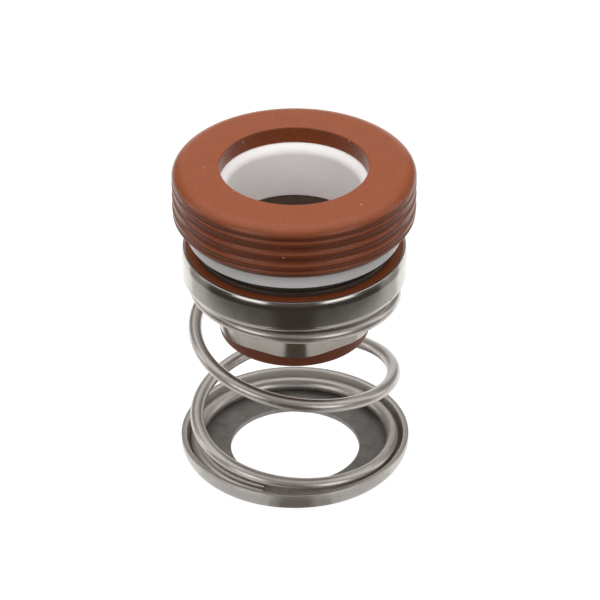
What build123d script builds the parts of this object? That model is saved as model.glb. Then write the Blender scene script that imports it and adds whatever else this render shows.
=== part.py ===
from build123d import *
from math import asin, cos, degrees, radians, sin, sqrt
import os

os.makedirs("parts", exist_ok=True)

# Bellows shaft seal, standing on its spring holder. Millimetres, +Z up along the shaft,
# origin in the middle of the holder's flat underside.

# Shaft that runs through the seal, and the housing bore that the seat is pressed into
shaft_diameter = 15.875
radial_room = 7.9375           # from the shaft's surface out to the housing bore
tail_squeeze = 0.275           # the rubber bore is this much smaller than the shaft
cup_squeeze = 0.25             # the rubber cup is this much bigger than the housing bore

# Spring holder: a pressed dish with a turned-up rim
holder_sheet = 0.75
holder_height = 3.15
holder_clearance = 0.8125      # from the shaft's surface to the edge of the hole
holder_bend_radius = 2.5       # outside, where the floor turns up into the rim
holder_rim_rounding = 0.2

# Spring: one left-handed coil of round wire, closed at both ends
wire_diameter = 1.8
spring_step = 0.7              # how far the coil stands in from the shell's outside
spring_free_length = 27.655
spring_to_holder = 0.5         # free space all round the bottom coil
spring_play = 0.02             # between the top coil and the head
top_lying_turn = 0.03          # stretch that lies flat under the head
bottom_lying_turn = 0.45       # stretch that lies flat in the holder
closing_turn = 1.0             # stretch over which the pitch grows from nothing to full
open_turn = 0.75               # stretch at full pitch
top_end_angle = 169.0          # where the top end of the wire stands, seen from above
points_per_turn = 16

# Head shell: a round pan with a curled-in rim, pressed down into a hexagonal neck
shell_sheet = 0.3
shell_clearance = 0.975        # from the shell out to the housing bore
pan_depth = 4.7
pan_bend_radius = 0.9          # outside, below the pan's wall
rim_curl = 0.25                # how far the rim leans inwards
rim_curl_height = 1.15
pan_rim_rounding = 0.12
neck_length = 6.65
neck_corner_radius = 6.8
neck_corner_angle = -87.6      # one corner nearly faces the front
neck_bend_radius = 1.8         # between the neck and the pan's floor

# Rubber bellows, held in the shell
tail_wall = 1.9                # between the shaft bore and the neck's flats
tail_stand_out = 1.8           # how far the tail comes out of the neck
tail_chamfer = 0.4
bore_lead = 0.5                # chamfer at both ends of the shaft bore
rubber_wall = 1.5              # between the shell's wall and the face ring
pocket_depth = 1.6             # how deep the face ring sits in the rubber
pocket_rounding = 0.15
ledge_thickness = 0.8          # rubber under the face ring
ledge_setback = 0.8            # the ledge stands back this far from the face ring's bore
fold_height = 0.9              # open fold between the ledge and the web
fold_step = 0.9                # rubber left round the fold, beyond the wall's

# Carbon face ring
face_ring_clearance = 0.9625   # from the shaft's surface to the ring's bore
face_ring_shoulder = 0.55      # body standing out of the rubber
nose_height = 1.35
nose_step = 0.6                # how far the nose stands in from the body
face_ring_chamfer = 0.25

# Ceramic seat ring
seat_ring_clearance = 0.8625   # from the shaft's surface to the ring's bore
seat_ring_thickness = 7.65
seat_ring_top_chamfer = 0.75
seat_ring_edge = 0.15

# Rubber cup round the seat ring
cup_wall = 1.8
cup_lip_thickness = 2.35
cup_lip_setback = 0.95         # the lip stands back this far from the seat ring's bore
cup_stand_up = 2.4             # bare height of the seat ring below the cup
cup_shoulder_width = 1.9
rib_count = 3
rib_land = 0.4
rib_rounding = 0.12
first_rib_depth = 2.35         # from the cup's back face to the middle of the first rib
groove_width = 1.3
groove_depth = 0.3
narrow_groove_width = 0.75     # the groove above the first rib and below the last one
narrow_groove_depth = 0.18
cup_edge_width = 0.7           # bevel below the last groove

# Radii, from the shaft and the housing bore to the pieces between them
shaft_radius = shaft_diameter / 2
housing_radius = shaft_radius + radial_room
cup_radius = housing_radius + cup_squeeze / 2
seat_ring_radius = cup_radius - cup_wall
seat_ring_bore_radius = shaft_radius + seat_ring_clearance
cup_lip_radius = seat_ring_bore_radius + cup_lip_setback
shell_radius = housing_radius - shell_clearance
pocket_radius = shell_radius - shell_sheet - rubber_wall
nose_radius = pocket_radius - nose_step
face_ring_bore_radius = shaft_radius + face_ring_clearance
ledge_radius = face_ring_bore_radius + ledge_setback
fold_radius = pocket_radius - fold_step
tail_bore_radius = shaft_radius - tail_squeeze / 2
neck_flat_radius = tail_bore_radius + tail_wall + shell_sheet
wire_radius = wire_diameter / 2
coil_radius = shell_radius - spring_step - wire_radius
holder_radius = coil_radius + wire_radius + spring_to_holder + holder_sheet
holder_opening_radius = shaft_radius + holder_clearance
curl_radius = (rim_curl_height**2 + rim_curl**2) / (2 * rim_curl)

# The bottom coil rests in the rounded corner between the holder's floor and its rim
corner_room = holder_bend_radius - holder_sheet - wire_radius
corner_offset = coil_radius - (holder_radius - holder_bend_radius)
coil_seat = holder_bend_radius - sqrt(corner_room**2 - corner_offset**2)

# Heights, each standing on the one before it
pan_floor = coil_seat - wire_radius + spring_free_length + spring_play
neck_bottom = pan_floor - neck_length
tail_bottom = neck_bottom - tail_stand_out
pan_rim = pan_floor + pan_depth
curl_bottom = pan_rim - rim_curl_height
face_ring_bottom = pan_rim - pocket_depth
shoulder_top = pan_rim + face_ring_shoulder
seal_face = shoulder_top + nose_height
seat_ring_top = seal_face + seat_ring_thickness
cup_bottom = seal_face + cup_stand_up
cup_top = seat_ring_top + cup_lip_thickness


def spring_drop(turn):
    """How far the wire has come down from the top coil after so many turns."""
    full_drop = spring_free_length - wire_diameter
    pitch = full_drop / (open_turn + closing_turn)
    eased = turn - top_lying_turn
    left = 2 * closing_turn + open_turn - eased
    if eased <= 0:
        return 0
    if left <= 0:
        return full_drop
    if eased < closing_turn:
        return pitch * eased**2 / (2 * closing_turn)
    if left < closing_turn:
        return full_drop - pitch * left**2 / (2 * closing_turn)
    return pitch * (eased - closing_turn / 2)


def spring_point(turn):
    """Middle of the wire after so many turns from its top end."""
    angle = radians(top_end_angle + 360 * turn)
    height = pan_floor - spring_play - wire_radius - spring_drop(turn)
    return (coil_radius * cos(angle), coil_radius * sin(angle), height)


def head_form(inset):
    """Solid form of the head, a round pan over a hexagonal neck, drawn in by inset."""
    floor = pan_floor + inset
    curl_angle = degrees(asin(rim_curl_height / (curl_radius - inset)))
    with BuildPart(mode=Mode.PRIVATE) as form:
        with BuildSketch(Plane.XY.offset(floor)):
            Circle(shell_radius - inset)
        extrude(amount=curl_bottom - floor)
        with BuildSketch(Plane.XY.offset(neck_bottom)):
            flats = RegularPolygon(
                neck_flat_radius - inset,
                6,
                major_radius=False,
                rotation=neck_corner_angle,
            )
            fillet(flats.vertices(), neck_corner_radius - inset)
        extrude(amount=floor - neck_bottom)
        at_floor = form.edges().filter_by_position(Axis.Z, floor, floor).sort_by(SortBy.LENGTH)
        fillet(at_floor[:-1], neck_bend_radius + inset)
        pan_edge = form.edges().filter_by_position(Axis.Z, floor, floor).sort_by(SortBy.LENGTH)
        fillet(pan_edge[-1], pan_bend_radius - inset)
        with BuildSketch(Plane.XZ):
            with BuildLine():
                curl = CenterArc(
                    (shell_radius - curl_radius, curl_bottom),
                    curl_radius - inset,
                    start_angle=0,
                    arc_size=curl_angle,
                )
                Polyline(curl @ 1, (0, pan_rim), (0, curl_bottom), curl @ 0)
            make_face()
        revolve(axis=Axis.Z)
    return form.part


# Spring holder: the section of its floor and rim, turned about the shaft
with BuildPart() as spring_holder:
    with BuildSketch(Plane.XZ) as dish:
        with BuildLine():
            Polyline(
                (holder_opening_radius, 0),
                (holder_radius, 0),
                (holder_radius, holder_height),
                (holder_radius - holder_sheet, holder_height),
                (holder_radius - holder_sheet, holder_sheet),
                (holder_opening_radius, holder_sheet),
                close=True,
            )
        make_face()
        inner_corner = dish.vertices().group_by(Axis.X)[1].sort_by(Axis.Y)[0]
        fillet(inner_corner, holder_bend_radius - holder_sheet)
        outer_corner = dish.vertices().group_by(Axis.X)[-1].sort_by(Axis.Y)[0]
        fillet(outer_corner, holder_bend_radius)
        fillet(dish.vertices().group_by(Axis.Y)[-1], holder_rim_rounding)
    revolve(axis=Axis.Z)
spring_holder.part.label = "spring_holder"
export_step(spring_holder.part, "parts/spring_holder.step")

# Spring: a round wire swept along a coil whose pitch eases in and out
spring_turns = top_lying_turn + 2 * closing_turn + open_turn + bottom_lying_turn
point_count = round(spring_turns * points_per_turn)
with BuildPart() as spring:
    with BuildLine() as coil:
        Spline(*[spring_point(spring_turns * n / point_count) for n in range(point_count + 1)])
    with BuildSketch(Plane(origin=coil.line @ 0, z_dir=coil.line % 0)):
        Circle(wire_radius)
    sweep(path=coil.line, is_frenet=True)
spring.part.label = "spring"
export_step(spring.part, "parts/spring.step")

# Head shell: the head's form less the same form drawn in by the sheet's thickness
with BuildPart() as head_shell:
    add(head_form(0))
    add(head_form(shell_sheet), mode=Mode.SUBTRACT)
    rim_edges = head_shell.edges().filter_by_position(Axis.Z, pan_rim, pan_rim)
    fillet(rim_edges.sort_by(SortBy.LENGTH)[-1], pan_rim_rounding)
head_shell.part.label = "head_shell"
export_step(head_shell.part, "parts/head_shell.step")

# Bellows: fills the shell, carries the face ring in a pocket, grips the shaft with its tail
web_top = face_ring_bottom - ledge_thickness - fold_height
with BuildPart() as bellows:
    add(head_form(shell_sheet))
    with BuildSketch(Plane.XY.offset(tail_bottom)):
        Circle(neck_flat_radius)
    extrude(amount=tail_stand_out)
    tail_end = bellows.edges().filter_by_position(Axis.Z, tail_bottom, tail_bottom)
    chamfer(tail_end, tail_chamfer)
    with BuildSketch(Plane.XZ):
        with BuildLine():
            Polyline(
                (0, pan_rim),
                (pocket_radius, pan_rim),
                (pocket_radius, face_ring_bottom),
                (ledge_radius, face_ring_bottom),
                (ledge_radius, face_ring_bottom - ledge_thickness),
                (fold_radius, face_ring_bottom - ledge_thickness),
                (fold_radius, web_top),
                (tail_bore_radius + bore_lead, web_top),
                (tail_bore_radius, web_top - bore_lead),
                (tail_bore_radius, tail_bottom + bore_lead),
                (tail_bore_radius + bore_lead, tail_bottom),
                (0, tail_bottom),
                close=True,
            )
        make_face()
    revolve(axis=Axis.Z, mode=Mode.SUBTRACT)
    mouth = bellows.edges().filter_by_position(Axis.Z, pan_rim, pan_rim)
    fillet(mouth.sort_by(SortBy.LENGTH)[0], pocket_rounding)
bellows.part.label = "bellows"
export_step(bellows.part, "parts/bellows.step")

# Face ring: a carbon ring with a raised nose that runs on the seat
with BuildPart() as face_ring:
    with BuildSketch(Plane.XY.offset(face_ring_bottom)):
        Circle(pocket_radius)
        Circle(face_ring_bore_radius, mode=Mode.SUBTRACT)
    extrude(amount=shoulder_top - face_ring_bottom)
    with BuildSketch(Plane.XY.offset(shoulder_top)):
        Circle(nose_radius)
        Circle(face_ring_bore_radius, mode=Mode.SUBTRACT)
    extrude(amount=nose_height)
    outer_edges = face_ring.edges().filter_by_position(Axis.Z, seal_face, seal_face)
    outer_edges += face_ring.edges().filter_by_position(Axis.Z, face_ring_bottom, face_ring_bottom)
    chamfer(outer_edges, face_ring_chamfer)
face_ring.part.label = "face_ring"
export_step(face_ring.part, "parts/face_ring.step")

# Seat ring: a thick ceramic ring, bevelled where the shaft goes in
with BuildPart() as seat_ring:
    with BuildSketch(Plane.XY.offset(seal_face)):
        Circle(seat_ring_radius)
        Circle(seat_ring_bore_radius, mode=Mode.SUBTRACT)
    extrude(amount=seat_ring_thickness)
    top_bore_edge = seat_ring.edges().filter_by_position(Axis.Z, seat_ring_top, seat_ring_top)
    chamfer(top_bore_edge.sort_by(SortBy.LENGTH)[0], seat_ring_top_chamfer)
    face_edges = seat_ring.edges().filter_by_position(Axis.Z, seal_face, seal_face)
    chamfer(face_edges, seat_ring_edge)
seat_ring.part.label = "seat_ring"
export_step(seat_ring.part, "parts/seat_ring.step")

# Seat cup: rubber round the seat ring, with a lip over its back and ribs that grip the housing
rib_pitch = rib_land + groove_width
last_rib_depth = first_rib_depth + (rib_count - 1) * rib_pitch
shoulder_drop = first_rib_depth - rib_land / 2 - narrow_groove_width
bevel_depth = last_rib_depth + rib_land / 2 + narrow_groove_width
grooves = [
    (shoulder_drop + narrow_groove_width / 2, narrow_groove_width, narrow_groove_depth),
    (bevel_depth - narrow_groove_width / 2, narrow_groove_width, narrow_groove_depth),
]
for rib in range(rib_count - 1):
    grooves.append((first_rib_depth + (rib + 0.5) * rib_pitch, groove_width, groove_depth))
with BuildPart() as seat_cup:
    with BuildSketch(Plane.XZ):
        with BuildLine():
            shoulder = EllipticalCenterArc(
                (cup_radius - cup_shoulder_width, cup_top - shoulder_drop),
                cup_shoulder_width,
                shoulder_drop,
                start_angle=0,
                arc_size=90,
            )
            Polyline(
                shoulder @ 1,
                (cup_lip_radius, cup_top),
                (cup_lip_radius, seat_ring_top),
                (seat_ring_radius, seat_ring_top),
                (seat_ring_radius, cup_bottom),
                (cup_radius - cup_edge_width, cup_bottom),
                (cup_radius, cup_top - bevel_depth),
                shoulder @ 0,
            )
        section = make_face()
        for middle, width, depth in grooves:
            arc_radius = (width**2 / 4 + depth**2) / (2 * depth)
            with Locations((cup_radius - depth + arc_radius, cup_top - middle)):
                Circle(arc_radius, mode=Mode.SUBTRACT)
        fillet(section.vertices().group_by(Axis.X)[-1], rib_rounding)
    revolve(axis=Axis.Z)
seat_cup.part.label = "seat_cup"
export_step(seat_cup.part, "parts/seat_cup.step")
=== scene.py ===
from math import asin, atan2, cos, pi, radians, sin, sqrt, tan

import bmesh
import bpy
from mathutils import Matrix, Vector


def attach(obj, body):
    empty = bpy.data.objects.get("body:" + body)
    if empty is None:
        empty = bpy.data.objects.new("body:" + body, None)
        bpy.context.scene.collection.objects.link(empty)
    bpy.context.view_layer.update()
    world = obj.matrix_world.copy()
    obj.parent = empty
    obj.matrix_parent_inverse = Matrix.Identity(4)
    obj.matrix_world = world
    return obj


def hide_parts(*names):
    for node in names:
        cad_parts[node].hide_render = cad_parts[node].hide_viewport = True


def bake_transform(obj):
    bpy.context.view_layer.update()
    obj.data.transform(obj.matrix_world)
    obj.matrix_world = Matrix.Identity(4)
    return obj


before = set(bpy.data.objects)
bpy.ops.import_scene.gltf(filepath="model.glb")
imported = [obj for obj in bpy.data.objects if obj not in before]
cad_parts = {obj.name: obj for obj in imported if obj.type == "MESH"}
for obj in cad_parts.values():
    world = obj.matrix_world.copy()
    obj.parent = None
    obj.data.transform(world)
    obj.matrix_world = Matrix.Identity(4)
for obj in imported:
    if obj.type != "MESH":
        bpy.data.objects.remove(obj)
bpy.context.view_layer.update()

# %% [markdown]
# # A bellows shaft seal
#
# The object is a seal for a pump shaft. A spring stands in a pressed dish and carries a
# stainless pan with a rubber bellows and a carbon ring. On the carbon ring rests a white
# ceramic ring in a ribbed rubber cup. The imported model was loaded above, and it is the
# frame that every piece below is built to.

mm = 0.001

# %% [markdown]
# ## Camera
#
# The photograph is taken from 33 degrees above, with a long lens, so the circles show as
# ellipses of nearly the same shape from top to bottom. The camera could be placed by eye.
# It is placed by numbers instead: a point to look at, a distance, a height angle and a
# slight roll, which together give its matrix.

# %% Camera
look_at = Vector((0.727, 0, 24.169)) * mm
camera_distance = 514.364 * mm
camera_height_angle = radians(33.034)
camera_roll = radians(-0.159)
sensor_width = 36
focal_length = 231.909

back = Vector((0, -cos(camera_height_angle), sin(camera_height_angle)))
level_right = Vector((1, 0, 0))
level_up = back.cross(level_right)
right = level_right * cos(camera_roll) + level_up * sin(camera_roll)
up = level_up * cos(camera_roll) - level_right * sin(camera_roll)

camera_data = bpy.data.cameras.new("camera")
camera_data.sensor_width = sensor_width
camera_data.lens = focal_length
camera_data.clip_start = 10 * mm
camera = bpy.data.objects.new("camera", camera_data)
bpy.context.scene.collection.objects.link(camera)
camera.matrix_world = Matrix.Translation(look_at + back * camera_distance) @ Matrix(
    (right, up, back)
).transposed().to_4x4()
bpy.context.scene.camera = camera
print("camera stands", round(camera_distance, 3), "m away with a", focal_length, "mm lens")

# %% [markdown]
# ## Floor, background and light
#
# The seal stands on white in an even light from above. A white background could come from
# stronger lamps, but they would bleach the rubber too. So the floor and the world are white
# only for the camera and for reflections, and the lamps stay at a plain level. Bare steel
# shows the room it stands in, so grey and bright cards stand round it that only reflections
# see: a dark table in front and a bright one behind, with walls, a ceiling, bright sheets at
# the sides, and grey sheets on the table close to the seal. Some of those grey sheets are
# painted shade: they stand for the seal's own shadow on the table, as the steel shows it.
# The cards give no light to the object, so the rubber and the ceramic don't change with
# them.

# %% Helpers for nodes
def add_node(tree, kind, inputs=None, **settings):
    """A new node, with plain values or other nodes' sockets put into its inputs."""
    node = tree.nodes.new(kind)
    for key, value in settings.items():
        setattr(node, key, value)
    for key, value in (inputs or {}).items():
        if isinstance(value, bpy.types.NodeSocket):
            tree.links.new(value, node.inputs[key])
        else:
            node.inputs[key].default_value = value
    return node


def maths(tree, operation, *values, clamp=False):
    """A Math node; returns its output."""
    inputs = {index: value for index, value in enumerate(values)}
    node = add_node(tree, "ShaderNodeMath", inputs, operation=operation, use_clamp=clamp)
    return node.outputs[0]


# %% Floor
def empty_material(name):
    """A node material with nothing in it but its output."""
    material = bpy.data.materials.new(name)
    material.use_nodes = True
    material.node_tree.nodes.clear()
    output = add_node(material.node_tree, "ShaderNodeOutputMaterial")
    return material, material.node_tree, output


def mesh_piece(name, points, faces):
    """A mesh object from points and faces, put into the scene."""
    mesh = bpy.data.meshes.new(name)
    mesh.from_pydata(points, [], faces)
    piece = bpy.data.objects.new(name, mesh)
    bpy.context.scene.collection.objects.link(piece)
    return piece


def seen_directly(tree):
    """1 for rays from the camera, from reflections and through glass, and 0 for the rest."""
    path = add_node(tree, "ShaderNodeLightPath").outputs
    seen = maths(tree, "MAXIMUM", path["Is Camera Ray"], path["Is Glossy Ray"])
    return maths(tree, "MAXIMUM", seen, path["Is Transmission Ray"])


white = (1, 1, 1, 1)
paper_grey = (0.16, 0.16, 0.16, 1)
paper_glow = 0.96
floor_half = 1.5
floor_depth = -0.02 * mm

floor_material, tree, output = empty_material("white_floor")
paper = add_node(tree, "ShaderNodeBsdfDiffuse", {"Color": paper_grey})
glow = add_node(tree, "ShaderNodeEmission", {"Color": white, "Strength": paper_glow})
both = add_node(tree, "ShaderNodeAddShader", {0: paper.outputs[0], 1: glow.outputs[0]})
mixed = add_node(
    tree,
    "ShaderNodeMixShader",
    {0: seen_directly(tree), 1: paper.outputs[0], 2: both.outputs[0]},
)
tree.links.new(mixed.outputs[0], output.inputs["Surface"])
quarters = ((-1, -1), (1, -1), (1, 1), (-1, 1))
floor_corners = [(x * floor_half, y * floor_half, floor_depth) for x, y in quarters]
floor = mesh_piece("floor", floor_corners, [(0, 1, 2, 3)])
floor.data.materials.append(floor_material)

# %% World
fill_strength = 0.26
world = bpy.data.worlds.new("studio")
bpy.context.scene.world = world
world.use_nodes = True
tree = world.node_tree
tree.nodes.clear()
soft_fill = add_node(tree, "ShaderNodeBackground", {"Color": white, "Strength": fill_strength})
bright = add_node(tree, "ShaderNodeBackground", {"Color": white, "Strength": 1.0})
mixed = add_node(
    tree,
    "ShaderNodeMixShader",
    {0: seen_directly(tree), 1: soft_fill.outputs[0], 2: bright.outputs[0]},
)
add_node(tree, "ShaderNodeOutputWorld", {"Surface": mixed.outputs[0]})


# %% Lamps
def area_lamp(name, place, aim, size, power):
    """A square softbox that faces a point and isn't seen itself."""
    lamp_data = bpy.data.lights.new(name, "AREA")
    lamp_data.shape = "SQUARE"
    lamp_data.size = size
    lamp_data.energy = power
    lamp = bpy.data.objects.new(name, lamp_data)
    bpy.context.scene.collection.objects.link(lamp)
    lamp.location = place
    lamp.rotation_euler = (Vector(aim) - Vector(place)).to_track_quat("-Z", "Y").to_euler()
    lamp.visible_camera = False
    lamp.visible_glossy = False
    return lamp


area_lamp("overhead_softbox", place=(0, 0.02, 0.8), aim=(0, 0.02, 0), size=1.1, power=9.0)


# %% Cards that only reflections see
def card_sheet(name, corners, faces, tone):
    """A grey card that takes no part in the light on the object and casts no shadow."""
    card = mesh_piece(name, corners, faces)
    card_material, tree, output = empty_material(name)
    grey_light = add_node(tree, "ShaderNodeEmission", {"Color": (*tone, 1), "Strength": 1.0})
    tree.links.new(grey_light.outputs[0], output.inputs["Surface"])
    card.data.materials.append(card_material)
    card.visible_camera = False
    card.visible_shadow = False
    card.visible_diffuse = False
    return card


def arc_sheet(name, middle, half_turn, inner, outer, tone, shift=0.0, steps=48):
    """A sheet between two arcs, each (reach, height), centred on a compass angle."""
    corners = []
    for reach, height in (inner, outer):
        for step in range(steps + 1):
            angle = middle + half_turn * (2 * step / steps - 1)
            corners.append((reach * cos(angle), reach * sin(angle) + shift, height))
    row = steps + 1
    faces = [(n, n + 1, row + n + 1, row + n) for n in range(steps)]
    return card_sheet(name, corners, faces, tone)


def both_sides(turn, middle):
    """The compass angles a turn to the left and a turn to the right of a middle."""
    return (middle - turn, middle + turn)


def grey(tone):
    """One tone in all three colours."""
    return (tone, tone, tone)


# %% Table, walls and ceiling
front = -pi / 2
behind = pi / 2
low = 0.2 * mm
wall = 0.55
table_shift = 5 * mm
dark_brown = (0.055, 0.047, 0.04)

# name, compass angles, half turn, inner edge and outer edge as (reach, height), tone
room_cards = [
    ("side_table", both_sides(1.77, front), 0.27, (0.062, low), (wall, low), (0.4, 0.385, 0.37)),
    ("bright_table", [behind], 1.1, (0.03, low), (wall, low), grey(1.35)),
    ("front_wall", [front], 1.65, (wall, low), (wall, 0.16), (0.13, 0.115, 0.1)),
    ("behind_camera", [front], 1.45, (wall, 0.16), (wall, 0.45), (0.27, 0.25, 0.23)),
    ("above_camera", [front], 1.15, (wall, 0.45), (0.3, 0.7), (0.42, 0.4, 0.38)),
    ("front_ceiling", [front], 0.8, (0.3, 0.7), (0.02, 0.75), (0.8, 0.78, 0.76)),
    ("back_wall", [behind], 0.35, (wall, 0.2), (wall, 0.6), (0.48, 0.46, 0.44)),
    ("back_corner", both_sides(0.8, behind), 0.45, (wall, low), (wall, 0.48), (0.27, 0.255, 0.24)),
    ("front_softbox", both_sides(0.74, front), 0.27, (0.54, 0.03), (0.54, 0.26), grey(2.2)),
    ("side_glow", both_sides(1.75, front), 0.3, (wall, low), (wall, 0.13), grey(2.2)),
]
cards = [
    arc_sheet("dark_table", front, 1.5, (0.06, low), (wall, low), dark_brown, table_shift),
]

# %% Sheets close to the seal
lowest = low / 2
disc_half_turn = 0.15
disc_inner, disc_outer = (0.052, lowest), (0.0615, lowest)
disc_tones = ((0.95, 0.5), (1.25, 0.58), (1.55, 0.66), (1.85, 0.75))
holder_shade_half_turn = 0.1
holder_shade_inner, holder_shade_outer = (0.001, lowest), (0.0205, lowest)
holder_shade_tones = ((0.25, 0.42), (0.35, 0.64), (0.45, 0.7), (0.65, 0.72), (0.85, 0.78), (1.0, 0.86))

# The columns are the same as for the room. An upright wall shows the table that lies in
# front of it, farther out the higher it stands: the shell's band shows the sheets at 52 to
# 62 mm, and the dish's wall shows those within 22 mm.
near_cards = [
    # Painted shade: the sheet round the front at 26 to 46 mm and the one right in front of the dish
    # stand for the seal's shadow on the table, as the steel shows it.
    ("near_shade", [front], 1.5, (0.026, lowest), (0.046, lowest), (0.6, 0.57, 0.54)),
    ("disc_edge", [front], 0.8, (0.052, lowest), (0.062, lowest), (0.3, 0.28, 0.26)),
    ("painted_shade_before_holder", [front], 0.2, (0.001, lowest), (0.0215, lowest), (0.23, 0.21, 0.19)),
]
for turn, tone in disc_tones:
    sides = both_sides(turn, front)
    near_cards.append(("disc_side", sides, disc_half_turn, disc_inner, disc_outer, grey(tone)))
# Painted shade beside the dish, lighter farther round: the seal's shadow on the table, as the
# dish's wall shows it.
for turn, tone in holder_shade_tones:
    sides = both_sides(turn, front)
    near_cards.append(
        ("painted_shade_by_holder", sides, holder_shade_half_turn, holder_shade_inner, holder_shade_outer, grey(tone))
    )
for name, angles, half_turn, inner, outer, tone in room_cards + near_cards:
    for angle in angles:
        cards.append(arc_sheet(name, angle, half_turn, inner, outer, tone))

# Painted shadow: this dark strip in front of the seal stands for its own shadow on the table, as
# the steel shows it.
strip_half, strip_near, strip_far = 0.016, -0.023, -0.056
strip_corners = [
    (-strip_half, strip_far, low),
    (strip_half, strip_far, low),
    (strip_half, strip_near, low),
    (-strip_half, strip_near, low),
]
cards.append(card_sheet("painted_shadow_strip", strip_corners, [(0, 1, 2, 3)], (0.105, 0.09, 0.075)))

bpy.context.scene.view_settings.view_transform = "Standard"
print("floor, world and softbox are set, with", len(cards), "cards round them")

# %% [markdown]
# ## Shared surface effects
#
# Several finishes need the same things: a faint mottle, the fine lines that a lathe leaves
# round a part, the streaks that a press leaves along it, specks of dust, and a speck or a
# nick at a chosen place. They could be built again in every material. Each is one node
# group with named inputs instead, so that every material can place it with its own sizes.

# %% Helpers for groups
def new_group(name, inputs, outputs, kind="ShaderNodeTree"):
    """A node group with named inputs and outputs; returns it and their sockets inside it."""
    group = bpy.data.node_groups.new(name, kind)
    for label, socket_type, default in inputs:
        socket = group.interface.new_socket(label, in_out="INPUT", socket_type=socket_type)
        if default is not None:
            socket.default_value = default
    for label, socket_type in outputs:
        group.interface.new_socket(label, in_out="OUTPUT", socket_type=socket_type)
    start = group.nodes.new("NodeGroupInput")
    end = group.nodes.new("NodeGroupOutput")
    return group, start.outputs, end.inputs


def use_group(tree, group, inputs):
    """Places a group in a material and returns its outputs."""
    return add_node(tree, "ShaderNodeGroup", inputs, node_tree=group).outputs


# %% Mottle
mottle, taken, given = new_group(
    "mottle",
    [
        ("Place", "NodeSocketVector", None),
        ("Patch size", "NodeSocketFloat", 2 * mm),
        ("Contrast", "NodeSocketFloat", 1.5),
    ],
    [("Amount", "NodeSocketFloat")],
)
frequency = maths(mottle, "DIVIDE", 1.0, taken["Patch size"])
clouds = add_node(
    mottle,
    "ShaderNodeTexNoise",
    {"Vector": taken["Place"], "Scale": frequency, "Detail": 4.0, "Roughness": 0.6},
)
centred = maths(mottle, "SUBTRACT", clouds.outputs["Fac"], 0.5)
stretched = maths(mottle, "MULTIPLY", centred, taken["Contrast"])
amount = maths(mottle, "ADD", stretched, 0.5, clamp=True)
mottle.links.new(amount, given["Amount"])

# %% Positions round the axis
def axis_reach(tree, x, y):
    """Distance from the axis."""
    x_squared = maths(tree, "MULTIPLY", x, x)
    y_squared = maths(tree, "MULTIPLY", y, y)
    return maths(tree, "SQRT", maths(tree, "ADD", x_squared, y_squared))


def axis_position(tree, place, around, height_step):
    """A position for noise, with its own scale round the axis and along it, and the reach."""
    split = add_node(tree, "ShaderNodeSeparateXYZ", {0: place}).outputs
    reach = axis_reach(tree, split["X"], split["Y"])
    across = maths(tree, "MULTIPLY", maths(tree, "DIVIDE", split["X"], reach), around)
    along = maths(tree, "MULTIPLY", maths(tree, "DIVIDE", split["Y"], reach), around)
    level = maths(tree, "DIVIDE", split["Z"], height_step)
    spot = add_node(tree, "ShaderNodeCombineXYZ", {0: across, 1: along, 2: level})
    return spot.outputs[0], reach


# %% Turned lines
turned_lines, taken, given = new_group(
    "turned_lines",
    [
        ("Place", "NodeSocketVector", None),
        ("Line size", "NodeSocketFloat", 0.1 * mm),
        ("Wander", "NodeSocketFloat", 1.0),
    ],
    [("Height", "NodeSocketFloat")],
)
spot, reach = axis_position(turned_lines, taken["Place"], taken["Wander"], taken["Line size"])
ring_number = maths(turned_lines, "DIVIDE", reach, taken["Line size"])
lines = add_node(
    turned_lines,
    "ShaderNodeTexNoise",
    {"Vector": spot, "W": ring_number, "Scale": 1.0, "Detail": 2.0},
    noise_dimensions="4D",
)
turned_lines.links.new(lines.outputs["Fac"], given["Height"])

# %% Drawn streaks: marks that run along the axis, as on a deep-drawn wall
drawn_streaks, taken, given = new_group(
    "drawn_streaks",
    [
        ("Place", "NodeSocketVector", None),
        ("Streaks", "NodeSocketFloat", 60.0),
        ("Length", "NodeSocketFloat", 3 * mm),
    ],
    [("Amount", "NodeSocketFloat")],
)
spot = axis_position(drawn_streaks, taken["Place"], taken["Streaks"], taken["Length"])[0]
streaks = add_node(
    drawn_streaks, "ShaderNodeTexNoise", {"Vector": spot, "Scale": 1.0, "Detail": 3.0}
)
drawn_streaks.links.new(streaks.outputs["Fac"], given["Amount"])

# %% Dust
dust, taken, given = new_group(
    "dust",
    [
        ("Place", "NodeSocketVector", None),
        ("Spacing", "NodeSocketFloat", 1 * mm),
        ("Speck", "NodeSocketFloat", 0.08),
        ("Share", "NodeSocketFloat", 0.1),
    ],
    [("Mask", "NodeSocketFloat")],
)
cells = add_node(
    dust,
    "ShaderNodeTexVoronoi",
    {"Vector": taken["Place"], "Scale": maths(dust, "DIVIDE", 1.0, taken["Spacing"])},
)
inside = maths(dust, "LESS_THAN", cells.outputs["Distance"], taken["Speck"])
tint = add_node(dust, "ShaderNodeSeparateColor", {0: cells.outputs["Color"]})
chosen = maths(dust, "LESS_THAN", tint.outputs[0], taken["Share"])
dust.links.new(maths(dust, "MULTIPLY", inside, chosen), given["Mask"])

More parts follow.
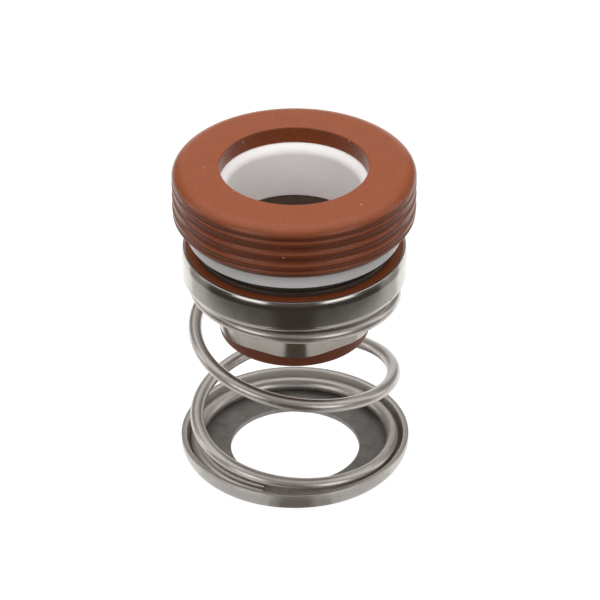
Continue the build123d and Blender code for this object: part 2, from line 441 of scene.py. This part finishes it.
# %% A single speck at a chosen place
placed_speck, taken, given = new_group(
    "placed_speck",
    [
        ("Place", "NodeSocketVector", None),
        ("Centre", "NodeSocketVector", None),
        ("Size", "NodeSocketFloat", 0.15 * mm),
    ],
    [("Mask", "NodeSocketFloat")],
)
ragged = add_node(
    placed_speck, "ShaderNodeTexNoise", {"Vector": taken["Place"], "Scale": 9 / mm, "Detail": 2.0}
)
apart = add_node(
    placed_speck,
    "ShaderNodeVectorMath",
    {0: taken["Place"], 1: taken["Centre"]},
    operation="DISTANCE",
)
uneven = maths(placed_speck, "ADD", ragged.outputs["Fac"], 0.5)
reach = maths(placed_speck, "MULTIPLY", taken["Size"], uneven)
inside = maths(placed_speck, "LESS_THAN", apart.outputs["Value"], reach)
placed_speck.links.new(inside, given["Mask"])
print("node groups:", [group.name for group in bpy.data.node_groups])

# %% [markdown]
# ## Finishes
#
# Rubber is a dull, slightly rough surface whose moulded skin is uneven. Carbon is dark and
# lapped. Fired ceramic is near white and smooth. The three steel pieces are bare stainless
# that has been pressed, drawn or coiled, so their marks run in different directions. Each
# could be one plain colour, but no real part is that even. So every material mixes two
# tones by a mottle or by its marks, and gets its fine relief from a bump.

# %% Material helpers
def mix_colours(tree, share, first, second):
    """A colour between two others; returns the output socket."""
    inputs = {0: share, 6: first, 7: second}
    return add_node(tree, "ShaderNodeMix", inputs, data_type="RGBA").outputs[2]


def weighted(tree, *pairs):
    """The sum of some values, each times its weight."""
    total = 0.0
    for value, weight in pairs:
        total = maths(tree, "MULTIPLY_ADD", value, weight, total)
    return total


def add_specks(tree, place, colour, specks, speck_tone):
    """Lays specks, each (centre, size) in millimetres, over a colour."""
    for centre, size in specks:
        spot = use_group(
            tree, placed_speck, {"Place": place, "Centre": Vector(centre) * mm, "Size": size * mm}
        )
        colour = mix_colours(tree, spot["Mask"], colour, speck_tone)
    return colour


def finish_base(name, **plain):
    """A material with its shader and the object's own coordinates."""
    material, tree, output = empty_material(name)
    shader = add_node(tree, "ShaderNodeBsdfPrincipled", plain)
    tree.links.new(shader.outputs[0], output.inputs["Surface"])
    place = add_node(tree, "ShaderNodeTexCoord").outputs["Object"]
    return material, tree, shader, place


def add_relief(tree, shader, height, depth, strength=1.0):
    """Feeds a height to the shader's normal; depth in metres."""
    bump = add_node(
        tree, "ShaderNodeBump", {"Height": height, "Distance": depth, "Strength": strength}
    )
    tree.links.new(bump.outputs[0], shader.inputs["Normal"])


def spread(tree, value, low, high):
    """Brings a value from 0..1 to low..high."""
    inputs = {"Value": value, "To Min": low, "To Max": high}
    return add_node(tree, "ShaderNodeMapRange", inputs).outputs[0]


# %% Rubber
rubber_shine = 0.42
rubber_relief = 0.007 * mm
grain_roughness = 0.07


def rubber_finish(name, dark, light, dust_tone, rough, specks=()):
    """Moulded rubber: soft mottle, fine grain and a few specks of dust."""
    material, tree, shader, place = finish_base(name, **{"Specular IOR Level": rubber_shine})
    patches = use_group(tree, mottle, {"Place": place, "Patch size": 2.5 * mm, "Contrast": 1.6})
    grain = use_group(tree, mottle, {"Place": place, "Patch size": 0.22 * mm, "Contrast": 2.2})
    tone = weighted(tree, (patches["Amount"], 0.6), (grain["Amount"], 0.4))
    colour = mix_colours(tree, tone, dark, light)
    scattered = use_group(
        tree, dust, {"Place": place, "Spacing": 1.3 * mm, "Speck": 0.07, "Share": 0.05}
    )
    colour = mix_colours(tree, scattered["Mask"], colour, dust_tone)
    colour = add_specks(tree, place, colour, specks, dust_tone)
    tree.links.new(colour, shader.inputs["Base Color"])
    roughness = spread(tree, grain["Amount"], rough - grain_roughness, rough + grain_roughness)
    tree.links.new(roughness, shader.inputs["Roughness"])
    add_relief(tree, shader, grain["Amount"], rubber_relief)
    return material


cup_specks = [
    ((-1.36, -15.79, 40.9), 0.2),
    ((-2.13, -15.71, 42.19), 0.13),
    ((-6.72, 7.06, 44.43), 0.13),
    ((7.23, 6.54, 44.85), 0.12),
    ((8.57, -9.81, 45.1), 0.12),
    ((11.59, -12.37, 44.9), 0.14),
    ((11.1, -12.1, 45.0), 0.1),
]
cup_rubber = rubber_finish(
    "cup_rubber",
    dark=(0.24, 0.058, 0.018, 1),
    light=(0.31, 0.078, 0.026, 1),
    dust_tone=(0.6, 0.46, 0.38, 1),
    rough=0.3,
    specks=cup_specks,
)
bellows_rubber = rubber_finish(
    "bellows_rubber",
    dark=(0.29, 0.070, 0.020, 1),
    light=(0.37, 0.092, 0.028, 1),
    dust_tone=(0.5, 0.4, 0.32, 1),
    rough=0.5,
)

# %% Ceramic and carbon
ceramic_tones = ((0.86, 0.845, 0.835, 1), (0.92, 0.905, 0.895, 1))
ceramic, tree, shader, place = finish_base("fired_ceramic", **{"Roughness": 0.32})
clouding = use_group(tree, mottle, {"Place": place, "Patch size": 4 * mm, "Contrast": 1.2})
colour = mix_colours(tree, clouding["Amount"], *ceramic_tones)
tree.links.new(colour, shader.inputs["Base Color"])
ground = use_group(tree, turned_lines, {"Place": place, "Line size": 0.12 * mm, "Wander": 1.5})
add_relief(tree, shader, ground["Height"], 0.002 * mm)

carbon_tones = ((0.10, 0.075, 0.054, 1), (0.15, 0.115, 0.085, 1))
carbon, tree, shader, place = finish_base("lapped_carbon")
clouding = use_group(tree, mottle, {"Place": place, "Patch size": 1.5 * mm, "Contrast": 1.5})
colour = mix_colours(tree, clouding["Amount"], *carbon_tones)
tree.links.new(colour, shader.inputs["Base Color"])
ground = use_group(tree, turned_lines, {"Place": place, "Line size": 0.1 * mm, "Wander": 1.0})
tree.links.new(spread(tree, ground["Height"], 0.3, 0.46), shader.inputs["Roughness"])
add_relief(tree, shader, ground["Height"], 0.004 * mm)

# %% Stainless steel
steel_relief = 0.003 * mm
# Below a given height the steel takes this darker tone and a rougher finish, in patches.
darker_tone = (0.25, 0.24, 0.226, 1)
darkening_edge = 0.15 * mm
darkening_gaps = 0.4
dull_roughness = 0.25
# Painted light: within a reach of the axis the steel takes this lighter tone, to lift the shade
# inside the dish.
painted_light_tone = (0.8, 0.77, 0.74, 1)
lit_roughness = 0.2
nick_tone = (0.2, 0.185, 0.17, 1)


def steel_finish(
    name, dark, light, roughness, streaks, rings, darker_below=-1 * mm, lit_within=0.0, nicks=()
):
    """Bare stainless with drawn streaks and faint rings.

    Below a height it is darker and duller, in patches. Within a reach of the axis it is
    lighter and rougher; the lighter colour there is painted light that lifts the shade.
    """
    material, tree, shader, place = finish_base(name, **{"Metallic": 1.0})
    drawn = use_group(tree, drawn_streaks, {"Place": place, "Streaks": streaks, "Length": 3 * mm})
    ringed = use_group(tree, turned_lines, {"Place": place, "Line size": rings, "Wander": 1.2})
    patches = use_group(tree, mottle, {"Place": place, "Patch size": 2 * mm, "Contrast": 1.5})
    grain = use_group(tree, mottle, {"Place": place, "Patch size": 0.16 * mm, "Contrast": 2.4})
    tone = weighted(
        tree,
        (drawn["Amount"], 0.35),
        (ringed["Height"], 0.15),
        (patches["Amount"], 0.2),
        (grain["Amount"], 0.3),
    )
    split = add_node(tree, "ShaderNodeSeparateXYZ", {0: place}).outputs
    # Painted light within the reach; darker and duller below the height.
    lit_inside = maths(tree, "LESS_THAN", axis_reach(tree, split["X"], split["Y"]), lit_within)
    dull = add_node(
        tree,
        "ShaderNodeMapRange",
        {"Value": split["Z"], "From Min": darker_below + darkening_edge, "From Max": darker_below},
    ).outputs[0]
    patchy = maths(tree, "MULTIPLY_ADD", patches["Amount"], -darkening_gaps, 1.0)
    darker_share = maths(tree, "MULTIPLY", dull, patchy)

    colour = mix_colours(tree, tone, dark, light)
    colour = mix_colours(tree, lit_inside, colour, painted_light_tone)
    colour = mix_colours(tree, darker_share, colour, darker_tone)
    colour = add_specks(tree, place, colour, nicks, nick_tone)
    tree.links.new(colour, shader.inputs["Base Color"])
    rough = maths(tree, "MULTIPLY_ADD", dull, dull_roughness, spread(tree, tone, *roughness))
    rough = maths(tree, "MULTIPLY_ADD", lit_inside, lit_roughness, rough)
    tree.links.new(rough, shader.inputs["Roughness"])
    add_relief(tree, shader, drawn["Amount"], steel_relief)
    return material


shell_steel = steel_finish(
    "drawn_shell_steel",
    dark=(0.35, 0.325, 0.295, 1),
    light=(0.62, 0.59, 0.555, 1),
    roughness=(0.14, 0.24),
    streaks=90.0,
    rings=0.25 * mm,
    nicks=[((12.61, -7.94, 29.3), 0.2), ((12.8, -7.6, 29.0), 0.16)],
)
holder_steel = steel_finish(
    "pressed_holder_steel",
    dark=(0.36, 0.335, 0.305, 1),
    light=(0.64, 0.61, 0.575, 1),
    roughness=(0.24, 0.36),
    streaks=60.0,
    rings=0.3 * mm,
    darker_below=0.85 * mm,
    # Inside its outer wall the dish is painted lighter, lifting the shade between the coil and the
    # wall.
    lit_within=14.9 * mm,
)

# %% Spring wire
wire_tones = ((0.39, 0.36, 0.335, 1), (0.75, 0.715, 0.685, 1))
wire_fleck = ((-9.72, -9.94, 17.77), 0.15)
fleck_tone = (0.95, 0.93, 0.9, 1)

wire_steel, tree, shader, place = finish_base("drawn_spring_wire", **{"Metallic": 1.0})
wire_map = add_node(tree, "ShaderNodeUVMap", uv_map="wire").outputs[0]
stretch = add_node(
    tree, "ShaderNodeMapping", {"Vector": wire_map, "Scale": (6.0, 14.0, 1.0)}
).outputs[0]
streaks = add_node(
    tree, "ShaderNodeTexNoise", {"Vector": stretch, "Scale": 1.0, "Detail": 4.0, "Roughness": 0.7}
).outputs["Fac"]
patches = use_group(tree, mottle, {"Place": place, "Patch size": 1.2 * mm, "Contrast": 1.6})
grain = use_group(tree, mottle, {"Place": place, "Patch size": 0.16 * mm, "Contrast": 2.4})
tone = weighted(tree, (streaks, 0.4), (patches["Amount"], 0.25), (grain["Amount"], 0.35))
colour = mix_colours(tree, tone, *wire_tones)
colour = add_specks(tree, place, colour, [wire_fleck], fleck_tone)
tree.links.new(colour, shader.inputs["Base Color"])
tree.links.new(spread(tree, tone, 0.28, 0.4), shader.inputs["Roughness"])
add_relief(tree, shader, streaks, steel_relief)
print("materials:", [material.name for material in bpy.data.materials])

# %% [markdown]
# ## Spring
#
# The spring is one round wire. Its turns lie flat at both ends and stand apart in the
# middle, so its pitch grows from nothing to full over one turn and falls again over one
# turn. It could be a curve drawn by hand, but a rule gives it better: Geometry Nodes lay
# points along the coil by turn number, and a circle is swept along them. Three values are
# kept on the mesh. How far along the wire a point is, and how far round it, place the
# streaks. How high the wire's middle is there is kept as well.

# %% Sizes of the spring, in millimetres, turns and degrees
holder_sheet = 0.75
holder_radius = 15.45
holder_bend = 2.5
wire_radius = 0.9
coil_radius = 13.3
pan_floor = 28.5
coil_play = 0.02
corner_room = holder_bend - holder_sheet - wire_radius
corner_offset = coil_radius - (holder_radius - holder_bend)
coil_bottom = holder_bend - sqrt(corner_room**2 - corner_offset**2)
coil_top = pan_floor - coil_play - wire_radius
lying_start = 0.03
closing_turn = 1.0
open_turn = 0.75
lying_end = 0.45
top_end_angle = 169.0
turns = lying_start + 2 * closing_turn + open_turn + lying_end
full_pitch = (coil_top - coil_bottom) / (closing_turn + open_turn)
print("turns", round(turns, 2), "full pitch", round(full_pitch, 2), "mm")


# %% Running a tree of Geometry Nodes
def run_tree(name, tree, values):
    """Runs a tree on an empty object and keeps its result as a plain mesh object."""
    source = bpy.data.objects.new(name + "_source", bpy.data.meshes.new(name + "_source"))
    bpy.context.scene.collection.objects.link(source)
    modifier = source.modifiers.new("nodes", "NODES")
    modifier.node_group = tree
    sockets = {
        item.name: item.identifier
        for item in tree.interface.items_tree
        if item.in_out == "INPUT"
    }
    for label, value in values.items():
        modifier[sockets[label]] = value
    graph = bpy.context.evaluated_depsgraph_get()
    mesh = bpy.data.meshes.new_from_object(source.evaluated_get(graph))
    source.modifiers.remove(modifier)
    bpy.data.objects.remove(source)
    mesh.name = name
    piece = bpy.data.objects.new(name, mesh)
    bpy.context.scene.collection.objects.link(piece)
    return piece


# %% The rule of the pitch
points_along = 520
points_round = 40
spring_tree, taken, given = new_group(
    "coil_spring",
    [
        ("Coil Radius", "NodeSocketFloat", coil_radius * mm),
        ("Wire Radius", "NodeSocketFloat", wire_radius * mm),
        ("Top", "NodeSocketFloat", coil_top * mm),
        ("Full Pitch", "NodeSocketFloat", full_pitch * mm),
        ("Turns", "NodeSocketFloat", turns),
        ("Lying Start", "NodeSocketFloat", lying_start),
        ("Closing Turn", "NodeSocketFloat", closing_turn),
        ("Open Turn", "NodeSocketFloat", open_turn),
        ("Start Angle", "NodeSocketFloat", radians(top_end_angle)),
        ("Points", "NodeSocketInt", points_along),
        ("Sides", "NodeSocketInt", points_round),
        ("Material", "NodeSocketMaterial", None),
    ],
    [("Geometry", "NodeSocketGeometry")],
    "GeometryNodeTree",
)


def run_up(tree, turn, start, closing):
    """How far the pitch's run-up has brought the wire, in full-pitch turns."""
    since = maths(tree, "DIVIDE", maths(tree, "SUBTRACT", turn, start), closing)
    eased = maths(tree, "ADD", since, 0.0, clamp=True)
    half_square = maths(tree, "MULTIPLY", maths(tree, "MULTIPLY", eased, eased), 0.5)
    beyond = maths(tree, "MAXIMUM", maths(tree, "SUBTRACT", since, 1.0), 0.0)
    return maths(tree, "MULTIPLY", maths(tree, "ADD", half_square, beyond), closing)


line_end = add_node(spring_tree, "ShaderNodeCombineXYZ", {2: taken["Turns"]})
line = add_node(spring_tree, "GeometryNodeCurvePrimitiveLine", {"End": line_end.outputs[0]})
points = add_node(
    spring_tree,
    "GeometryNodeResampleCurve",
    {"Curve": line.outputs[0], "Count": taken["Points"]},
)
position = add_node(spring_tree, "GeometryNodeInputPosition")
turn = add_node(spring_tree, "ShaderNodeSeparateXYZ", {0: position.outputs[0]}).outputs["Z"]
run_up_end = maths(spring_tree, "ADD", taken["Lying Start"], taken["Closing Turn"])
closing_start = maths(spring_tree, "ADD", run_up_end, taken["Open Turn"])
fallen = maths(
    spring_tree,
    "SUBTRACT",
    run_up(spring_tree, turn, taken["Lying Start"], taken["Closing Turn"]),
    run_up(spring_tree, turn, closing_start, taken["Closing Turn"]),
)
drop = maths(spring_tree, "MULTIPLY", fallen, taken["Full Pitch"])
height = maths(spring_tree, "SUBTRACT", taken["Top"], drop)
angle = maths(spring_tree, "MULTIPLY_ADD", turn, 2 * pi, taken["Start Angle"])
across = maths(spring_tree, "MULTIPLY", maths(spring_tree, "COSINE", angle), taken["Coil Radius"])
along = maths(spring_tree, "MULTIPLY", maths(spring_tree, "SINE", angle), taken["Coil Radius"])
coil_point = add_node(spring_tree, "ShaderNodeCombineXYZ", {0: across, 1: along, 2: height})


# %% Sweeping the wire
def keep_value(tree, curve, name, value):
    """Stores a number on the points of a curve; returns the curve."""
    stored = add_node(
        tree,
        "GeometryNodeStoreNamedAttribute",
        {"Geometry": curve, "Name": name, "Value": value},
        data_type="FLOAT",
        domain="POINT",
    )
    return stored.outputs[0]


coil = add_node(
    spring_tree,
    "GeometryNodeSetPosition",
    {
        "Geometry": keep_value(spring_tree, points.outputs[0], "turn", turn),
        "Position": coil_point.outputs[0],
    },
)
coil_place = add_node(spring_tree, "GeometryNodeInputPosition").outputs[0]
coil_level = add_node(spring_tree, "ShaderNodeSeparateXYZ", {0: coil_place}).outputs["Z"]
section = add_node(
    spring_tree,
    "GeometryNodeCurvePrimitiveCircle",
    {"Resolution": taken["Sides"], "Radius": taken["Wire Radius"]},
)
share_round = add_node(spring_tree, "GeometryNodeSplineParameter").outputs["Factor"]
wire = add_node(
    spring_tree,
    "GeometryNodeCurveToMesh",
    {
        "Curve": keep_value(spring_tree, coil.outputs[0], "wire_height", coil_level),
        "Profile Curve": keep_value(spring_tree, section.outputs[0], "side", share_round),
        "Fill Caps": True,
    },
)
real = add_node(spring_tree, "GeometryNodeRealizeInstances", {"Geometry": wire.outputs[0]})
finished = add_node(
    spring_tree,
    "GeometryNodeSetMaterial",
    {"Geometry": real.outputs[0], "Material": taken["Material"]},
)
spring_tree.links.new(finished.outputs[0], given["Geometry"])
spring_wire = run_tree("spring_wire", spring_tree, {"Material": wire_steel})
print("spring:", len(spring_wire.data.vertices), "points")


# %% Smooth faces and a map along the wire
def smooth(piece, sharp_angle=35):
    """Smooth shading, with an edge kept where the surface turns sharply."""
    mesh = piece.data
    mesh.polygons.foreach_set("use_smooth", [True] * len(mesh.polygons))
    mesh.set_sharp_from_angle(angle=radians(sharp_angle))
    mesh.update()


def map_wire(piece):
    """Writes the map that the streaks follow: along the wire in cm, round it in turns."""
    mesh = piece.data
    turn_of = [item.value for item in mesh.attributes["turn"].data]
    side_of = [item.value for item in mesh.attributes["side"].data]
    layer = mesh.uv_layers.new(name="wire")
    turn_length = 2 * pi * coil_radius / 10
    half_round = 0.5
    for face in mesh.polygons:
        sides = [side_of[mesh.loops[index].vertex_index] for index in face.loop_indices]
        wraps = max(sides) - min(sides) > half_round
        for index, side in zip(face.loop_indices, sides):
            if wraps and side < half_round:
                side += 1
            vertex = mesh.loops[index].vertex_index
            layer.data[index].uv = (turn_of[vertex] * turn_length, side)


map_wire(spring_wire)
smooth(spring_wire)

# %% [markdown]
# ## Turned and pressed rings
#
# The holder, the rubber, the carbon ring, the ceramic ring and the cup are all round, so
# each is one closed outline turned about the shaft's axis. Boxes with bevels could stand in
# for them, but an outline with its own radius at every corner catches the light as the real
# edges do. A short extra step beside each rounding keeps the flat faces flat in the light.

# %% Outline helpers
widest_support = 0.08
support_share = 0.3


def rounded(corners, steps=5):
    """A closed outline from corners (radius, height, rounding), in millimetres."""
    outline = []
    count = len(corners)
    for index, (r, z, rounding) in enumerate(corners):
        here = Vector((r, z))
        before = Vector(corners[index - 1][:2]) - here
        after = Vector(corners[(index + 1) % count][:2]) - here
        if rounding == 0:
            outline.append((r, z))
            continue
        opening = before.angle(after)
        reach = rounding / tan(opening / 2)
        first = here + before.normalized() * reach
        last = here + after.normalized() * reach
        middle = here + (before.normalized() + after.normalized()).normalized() * (
            rounding / sin(opening / 2)
        )
        support = min(widest_support, support_share * rounding)
        needed = reach + 3 * support
        if before.length > needed:
            outline.append(tuple(first + before.normalized() * support))
        for step in range(steps + 1):
            blend = (first - middle).slerp(last - middle, step / steps)
            outline.append(tuple(middle + blend * rounding))
        if after.length > needed:
            outline.append(tuple(last + after.normalized() * support))
    return outline


def ring_mesh(name, rings, material):
    """A closed skin of quads over rings of points, each ring closed round the axis."""
    count = len(rings[0])
    points = [tuple(value * mm for value in point) for ring in rings for point in ring]
    faces = []
    for index in range(len(rings)):
        this_ring = index * count
        next_ring = (index + 1) % len(rings) * count
        for step in range(count):
            following = (step + 1) % count
            faces.append(
                (this_ring + step, this_ring + following, next_ring + following, next_ring + step)
            )
    piece = mesh_piece(name, points, faces)
    work = bmesh.new()
    work.from_mesh(piece.data)
    bmesh.ops.recalc_face_normals(work, faces=work.faces)
    work.to_mesh(piece.data)
    work.free()
    piece.data.materials.append(material)
    smooth(piece)
    return piece


def circle_angles(count):
    """Even angles all the way round the axis."""
    return [2 * pi * n / count for n in range(count)]


def turned(name, outline, material, around=240):
    """Turns an outline of (radius, height) about the axis."""
    angles = circle_angles(around)
    rings = [[(r * cos(a), r * sin(a), z) for a in angles] for r, z in outline]
    return ring_mesh(name, rings, material)


# %% Spring holder
holder_height = 3.15
holder_hole = 8.75
holder_inside = holder_radius - holder_sheet
hole_rounding = 0.12
rim_rounding = 0.22
holder_dish = turned(
    "holder_dish",
    rounded(
        [
            (holder_hole, 0, hole_rounding),
            (holder_radius, 0, holder_bend),
            (holder_radius, holder_height, rim_rounding),
            (holder_inside, holder_height, rim_rounding),
            (holder_inside, holder_sheet, holder_bend - holder_sheet),
            (holder_hole, holder_sheet, hole_rounding),
        ],
        steps=12,
    ),
    holder_steel,
)

# %% Seat ring and face ring
seal_face = 35.1
seat_ring_top = 42.75
seat_ring_radius = 14.2
seat_ring_bore = 8.8
bore_flare = 9.55
flare_depth = 0.75
ceramic_ring = turned(
    "ceramic_ring",
    rounded(
        [
            (seat_ring_bore, seal_face, 0.15),
            (seat_ring_radius, seal_face, 0.2),
            (seat_ring_radius, seat_ring_top, 0.2),
            (bore_flare, seat_ring_top, 0.5),
            (seat_ring_bore, seat_ring_top - flare_depth, 1.5),
        ],
        steps=6,
    ),
    ceramic,
)
pan_rim = 33.2
pocket_radius = 13.1
face_ring_bottom = 31.6
face_ring_bore = 8.9
nose_radius = 12.5
nose_bottom = 33.75
carbon_ring = turned(
    "carbon_ring",
    rounded(
        [
            (face_ring_bore, face_ring_bottom, 0.1),
            (pocket_radius, face_ring_bottom, 0.25),
            (pocket_radius, nose_bottom, 0.12),
            (nose_radius, nose_bottom, 0.1),
            (nose_radius, seal_face, 0.2),
            (face_ring_bore, seal_face, 0.1),
        ],
    ),
    carbon,
)

# %% Seat cup
cup_radius = 16.0
cup_top = 45.1
cup_bottom = 37.5
cup_lip_hole = 9.75
cup_bottom_step = 0.7
shoulder_width = 1.9
shoulder_drop = 1.4
shoulder_steps = 14
rib_land = 0.4
rib_rounding = 0.2
rib_count = 3
wide_groove = (1.3, 0.3)
narrow_groove = (0.75, 0.18)


def groove_points(top, size, steps=10):
    """The arc of one groove in the cup's wall, from its top edge to its bottom edge."""
    width, depth = size
    arc_radius = (width**2 / 4 + depth**2) / (2 * depth)
    half_angle = atan2(width / 2, arc_radius - depth)
    centre = (cup_radius - depth + arc_radius, top - width / 2)
    points = []
    for step in range(steps + 1):
        turn_by = half_angle * (1 - 2 * step / steps)
        rounding = rib_rounding if step in (0, steps) else 0
        points.append(
            (centre[0] - arc_radius * cos(turn_by), centre[1] + arc_radius * sin(turn_by), rounding)
        )
    return points


cup_corners = [
    (seat_ring_radius, seat_ring_top, 0),
    (cup_lip_hole, seat_ring_top, 0.1),
    (cup_lip_hole, cup_top, 0.18),
]
for step in range(shoulder_steps):
    turn_by = pi / 2 * (1 - step / shoulder_steps)
    cup_corners.append(
        (
            cup_radius - shoulder_width * (1 - cos(turn_by)),
            cup_top - shoulder_drop * (1 - sin(turn_by)),
            0,
        )
    )
groove_top = cup_top - shoulder_drop
sizes = [narrow_groove] + [wide_groove] * (rib_count - 1) + [narrow_groove]
for size in sizes:
    cup_corners += groove_points(groove_top, size)
    groove_top -= size[0] + rib_land
cup_corners += [
    (cup_radius - cup_bottom_step, cup_bottom, 0.25),
    (seat_ring_radius, cup_bottom, 0.1),
]
rubber_cup = turned("rubber_cup", rounded(cup_corners, steps=4), cup_rubber, around=288)
print("cup outline has", len(cup_corners), "corners")

# %% [markdown]
# ## Light into the ring
#
# The white ring sits deep in its cup and would turn grey there. More light from above would
# lighten everything else too, so two small lamps shine on the ring alone.

# %% Light into the ring
ring_only = bpy.data.collections.new("ring_only")
ring_only.objects.link(ceramic_ring)
for side in (-1, 1):
    ring_lamp = area_lamp(
        "ring_fill", place=(side * 0.31, -0.34, 0.34), aim=(0, 0, 0.04), size=0.3, power=0.54
    )
    ring_lamp.light_linking.receiver_collection = ring_only

# %% [markdown]
# ## Head shell and bellows
#
# The shell starts as a round pan and is drawn down into a neck with six sides and very
# round corners. Turning an outline can't make that, so its rings are worked out one by one:
# the neck's rings are rounded hexagons, the fillet's rings grow outwards from them, and the
# pan's rings are circles. The rubber inside follows the same rings, drawn in by the sheet.

# %% Hexagon ring
neck_apothem = 10.0
neck_corner = 6.8
neck_angle = radians(-87.6)


def hexagon_reach(angle, offset):
    """Distance from the axis to a rounded hexagon, grown or drawn in by an offset."""
    from_corner = (angle - neck_angle) % (pi / 3)
    from_flat = abs(from_corner - pi / 6)
    apothem = neck_apothem + offset
    corner = neck_corner + offset
    straight = (apothem - corner) * tan(pi / 6)
    if from_flat <= atan2(straight, apothem):
        return apothem / cos(from_flat)
    centre = (apothem - corner) / cos(pi / 6)
    away = pi / 6 - from_flat
    return centre * cos(away) + sqrt(corner**2 - (centre * sin(away)) ** 2)


head_angles = circle_angles(240)


def hexagon_ring(offset, z):
    """A ring round the neck or its fillet, grown or drawn in by an offset."""
    reaches = [(hexagon_reach(a, offset), a) for a in head_angles]
    return [(r * cos(a), r * sin(a), z) for r, a in reaches]


def circle_ring(r, z):
    """A ring round the pan or the rubber."""
    return [(r * cos(a), r * sin(a), z) for a in head_angles]


# %% Skin of the head
neck_bottom = 21.85
neck_bend = 1.8
neck_shares = (0.3, 0.6, 0.9)
pan_bend = 0.9
shell_radius = 14.9
shell_sheet = 0.3
rim_curl = 0.25
curl_height = 1.15
curl_radius = (curl_height**2 + rim_curl**2) / (2 * rim_curl)
curl_bottom = pan_rim - curl_height
flat_margin = 0.06
fillet_steps = 10
bend_steps = 8
curl_steps = 8
edge_steps = 5


def head_skin(inset, edge=0.0):
    """Rings from the neck's end to the start of the rim's curl, drawn in by an inset."""
    fillet = neck_bend + inset
    level = pan_floor + inset
    reach = shell_radius - inset
    corner = pan_bend - inset
    neck_end = neck_bottom + edge
    rings = [hexagon_ring(-inset, neck_end)]
    for share in neck_shares:
        rings.append(hexagon_ring(-inset, neck_end + share * (level - fillet - neck_end)))
    for step in range(fillet_steps + 1):
        turn_by = pi / 2 * step / fillet_steps
        rings.append(
            hexagon_ring(-inset + fillet * (1 - cos(turn_by)), level - fillet * (1 - sin(turn_by)))
        )
    rings.append(circle_ring(reach - corner - flat_margin, level))
    for step in range(bend_steps + 1):
        turn_by = pi / 2 * step / bend_steps
        rings.append(
            circle_ring(reach - corner * (1 - sin(turn_by)), level + corner * (1 - cos(turn_by)))
        )
    rings.append(circle_ring(reach, level + corner + flat_margin))
    rings.append(circle_ring(reach, curl_bottom - flat_margin))
    return rings


def curl_skin(inset, gap):
    """Rings of the rim's inward curl, ending a gap below the rim."""
    bend = curl_radius - inset
    middle = shell_radius - curl_radius
    last = asin((curl_height - gap) / bend)
    leans = [last * n / curl_steps for n in range(curl_steps + 1)]
    return [
        circle_ring(middle + bend * cos(lean), curl_bottom + bend * sin(lean)) for lean in leans
    ]


def rim_edge(inset, rounding, outwards):
    """Rings of the rounded edge between one side of the sheet and the rim's flat top."""
    lean = asin(curl_height / curl_radius)
    bend = curl_radius - inset
    reach = shell_radius - curl_radius + bend * cos(asin(curl_height / bend))
    middle = reach - outwards * rounding
    angles = [lean + (pi / 2 - lean) * n / edge_steps for n in range(1, edge_steps + 1)]
    return [
        circle_ring(
            middle + outwards * rounding * cos(angle), pan_rim - rounding * (1 - sin(angle))
        )
        for angle in angles
    ]


neck_edge_inset = 0.08
outer_skin = head_skin(0, edge=0.1) + curl_skin(0, gap=0.08)
outer_skin += rim_edge(0, rounding=0.12, outwards=1)
inner_skin = head_skin(shell_sheet, edge=0.1) + curl_skin(shell_sheet, gap=0.05)
inner_skin += rim_edge(shell_sheet, rounding=0.06, outwards=-1)
neck_edge = [
    hexagon_ring(-shell_sheet + neck_edge_inset, neck_bottom),
    hexagon_ring(-neck_edge_inset, neck_bottom),
]
steel_shell = ring_mesh("steel_shell", outer_skin + inner_skin[::-1] + neck_edge, shell_steel)
print("shell rings:", len(outer_skin) + len(inner_skin) + len(neck_edge))

# %% Bellows
rim_inside = 14.3
shelf_hole = 9.7
shelf_bottom = face_ring_bottom - 0.8
fold_radius = 12.2
fold_bottom = face_ring_bottom - 1.7
grip_radius = 7.8
grip_chamfer = 0.5
tail_radius = 10.0
tail_bottom = 20.05
rubber_inner = rounded(
    [
        (rim_inside, pan_rim, 0),
        (pocket_radius, pan_rim, 0.15),
        (pocket_radius, face_ring_bottom, 0),
        (shelf_hole, face_ring_bottom, 0.1),
        (shelf_hole, shelf_bottom, 0.2),
        (fold_radius, shelf_bottom, 0.3),
        (fold_radius, fold_bottom, 0.3),
        (grip_radius + grip_chamfer, fold_bottom, 0.1),
        (grip_radius, fold_bottom - grip_chamfer, 0.1),
        (grip_radius, tail_bottom + grip_chamfer, 0.1),
        (grip_radius + grip_chamfer, tail_bottom, 0.1),
        (tail_radius, tail_bottom, 0.5),
        (tail_radius, neck_bottom, 0.15),
    ],
    steps=6,
)
rubber_rings = [circle_ring(r, z) for r, z in rubber_inner]
rubber_rings += head_skin(shell_sheet) + curl_skin(shell_sheet, gap=0.03)
rubber_bellows = ring_mesh("rubber_bellows", rubber_rings, bellows_rubber)
print("bellows rings:", len(rubber_rings))

# %% [markdown]
# ## Riding on the bodies
#
# The imported model has three bodies: the holder, the head and the seat. Each finished piece
# but the spring stands for one solid and rides on that solid's body. The spring reaches from
# the holder to the head; it rides on neither, and its transform is baked into its points.

# %% Riding
for piece, node, body, slot_name in (
    (holder_dish, "spring_holder", "holder", "pressed_steel"),
    (steel_shell, "head_shell", "head", "shell_steel"),
    (rubber_bellows, "bellows", "head", "bellows_rubber"),
    (carbon_ring, "face_ring", "head", "carbon"),
    (ceramic_ring, "seat_ring", "seat", "ceramic"),
    (rubber_cup, "seat_cup", "seat", "cup_rubber"),
):
    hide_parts(node)
    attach(piece, body)
    print(piece.name, "rides on", body, "-", len(piece.data.polygons), "faces")

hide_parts("spring")
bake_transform(spring_wire)
